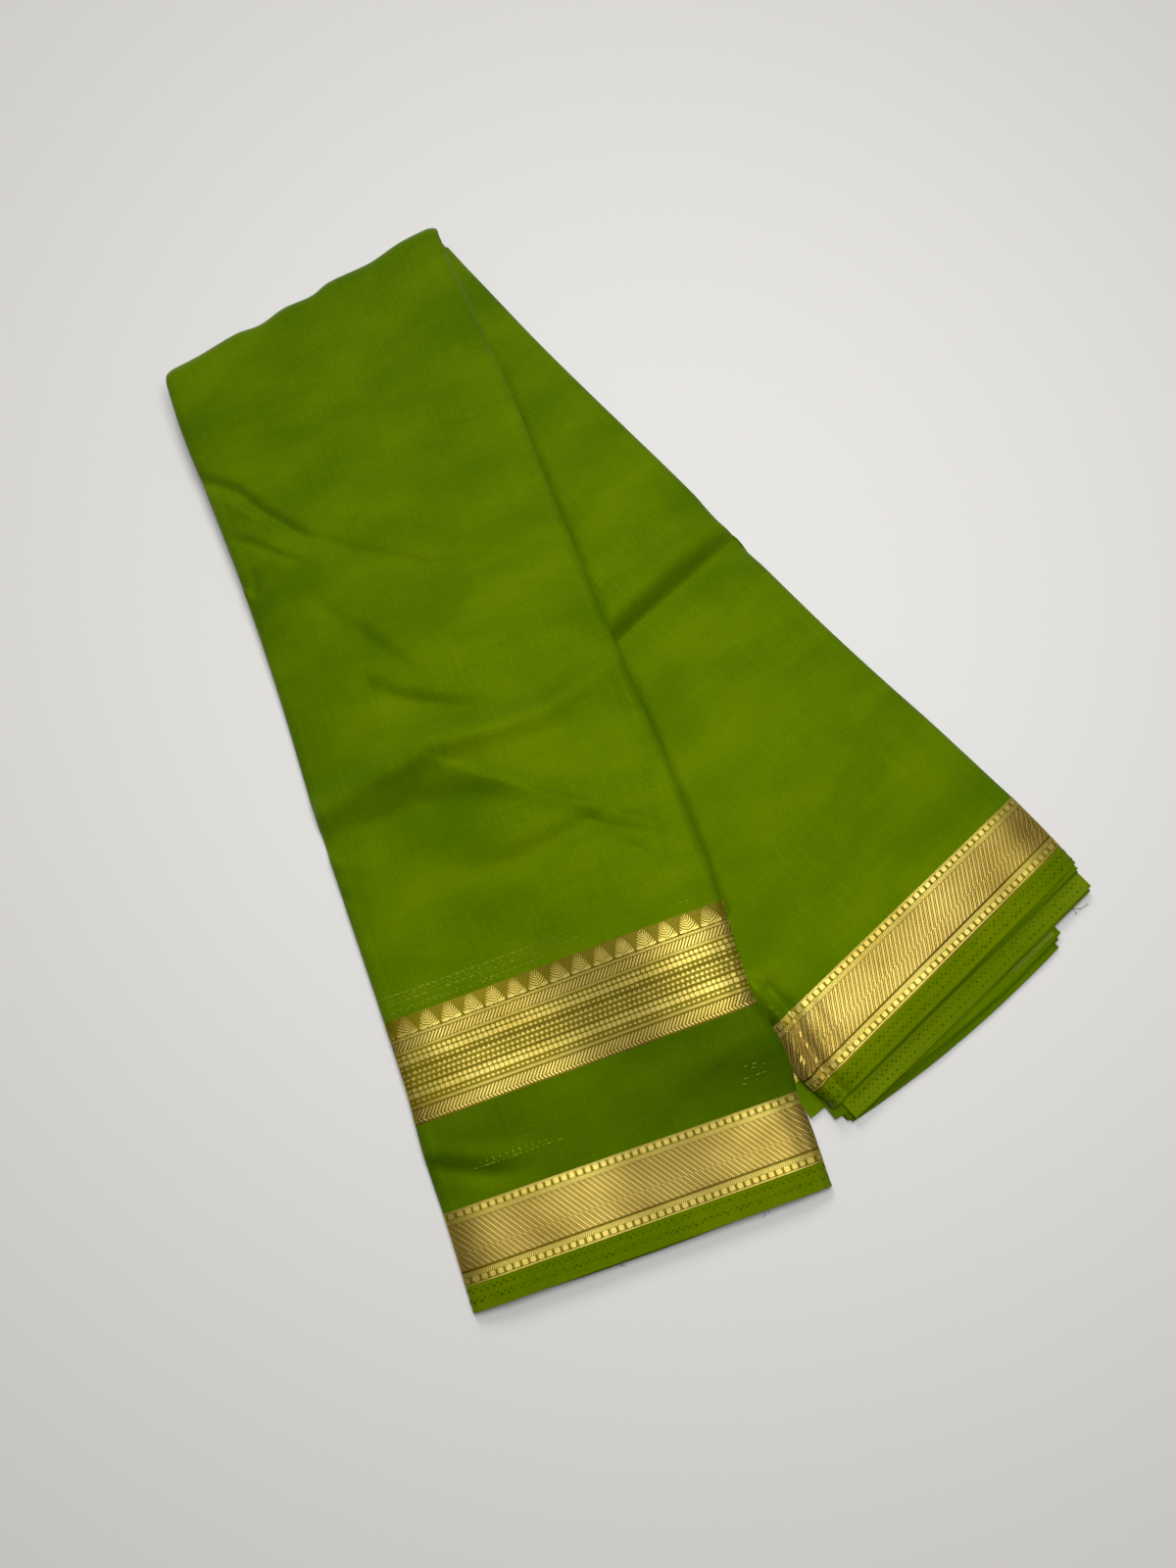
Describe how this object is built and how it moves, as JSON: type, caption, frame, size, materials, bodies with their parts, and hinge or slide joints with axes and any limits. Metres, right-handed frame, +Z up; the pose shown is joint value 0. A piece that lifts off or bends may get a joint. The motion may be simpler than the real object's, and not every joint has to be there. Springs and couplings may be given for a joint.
{
  "type": "folded saree",
  "caption": "Saree of thin woven cloth folded into a long flat bundle, bent over at its middle so that its two bordered ends lie side by side, resting flat.",
  "frame": {"origin": "on the surface it rests on, under the middle of its plan", "axes": "+Z up, +Y towards the bent end, +X to the right of a viewer who faces the bent end"},
  "size_m": [0.5084, 0.6068, 0.02],
  "materials": {
    "green_cloth": "thin plain weave, parrot green, soft sheen, slightly sheer",
    "gold_border": "woven metallic gold thread in stripes, dots and a temple edge"
  },
  "bodies": {
    "root": {"hidden_layers": "green_cloth", "upper_field": "green_cloth", "upper_wide_border": "gold_border", "upper_gap": "green_cloth", "upper_narrow_border": "gold_border", "upper_selvedge": "green_cloth", "lower_field": "green_cloth", "lower_narrow_border": "gold_border", "lower_selvedge": "green_cloth", "upper_end_layer_1": "green_cloth", "upper_end_layer_2": "green_cloth", "upper_end_layer_3": "green_cloth", "lower_end_layer_1": "green_cloth", "lower_end_layer_2": "green_cloth", "lower_end_layer_3": "green_cloth", "lower_end_layer_4": "green_cloth"}
  },
  "joints": []
}
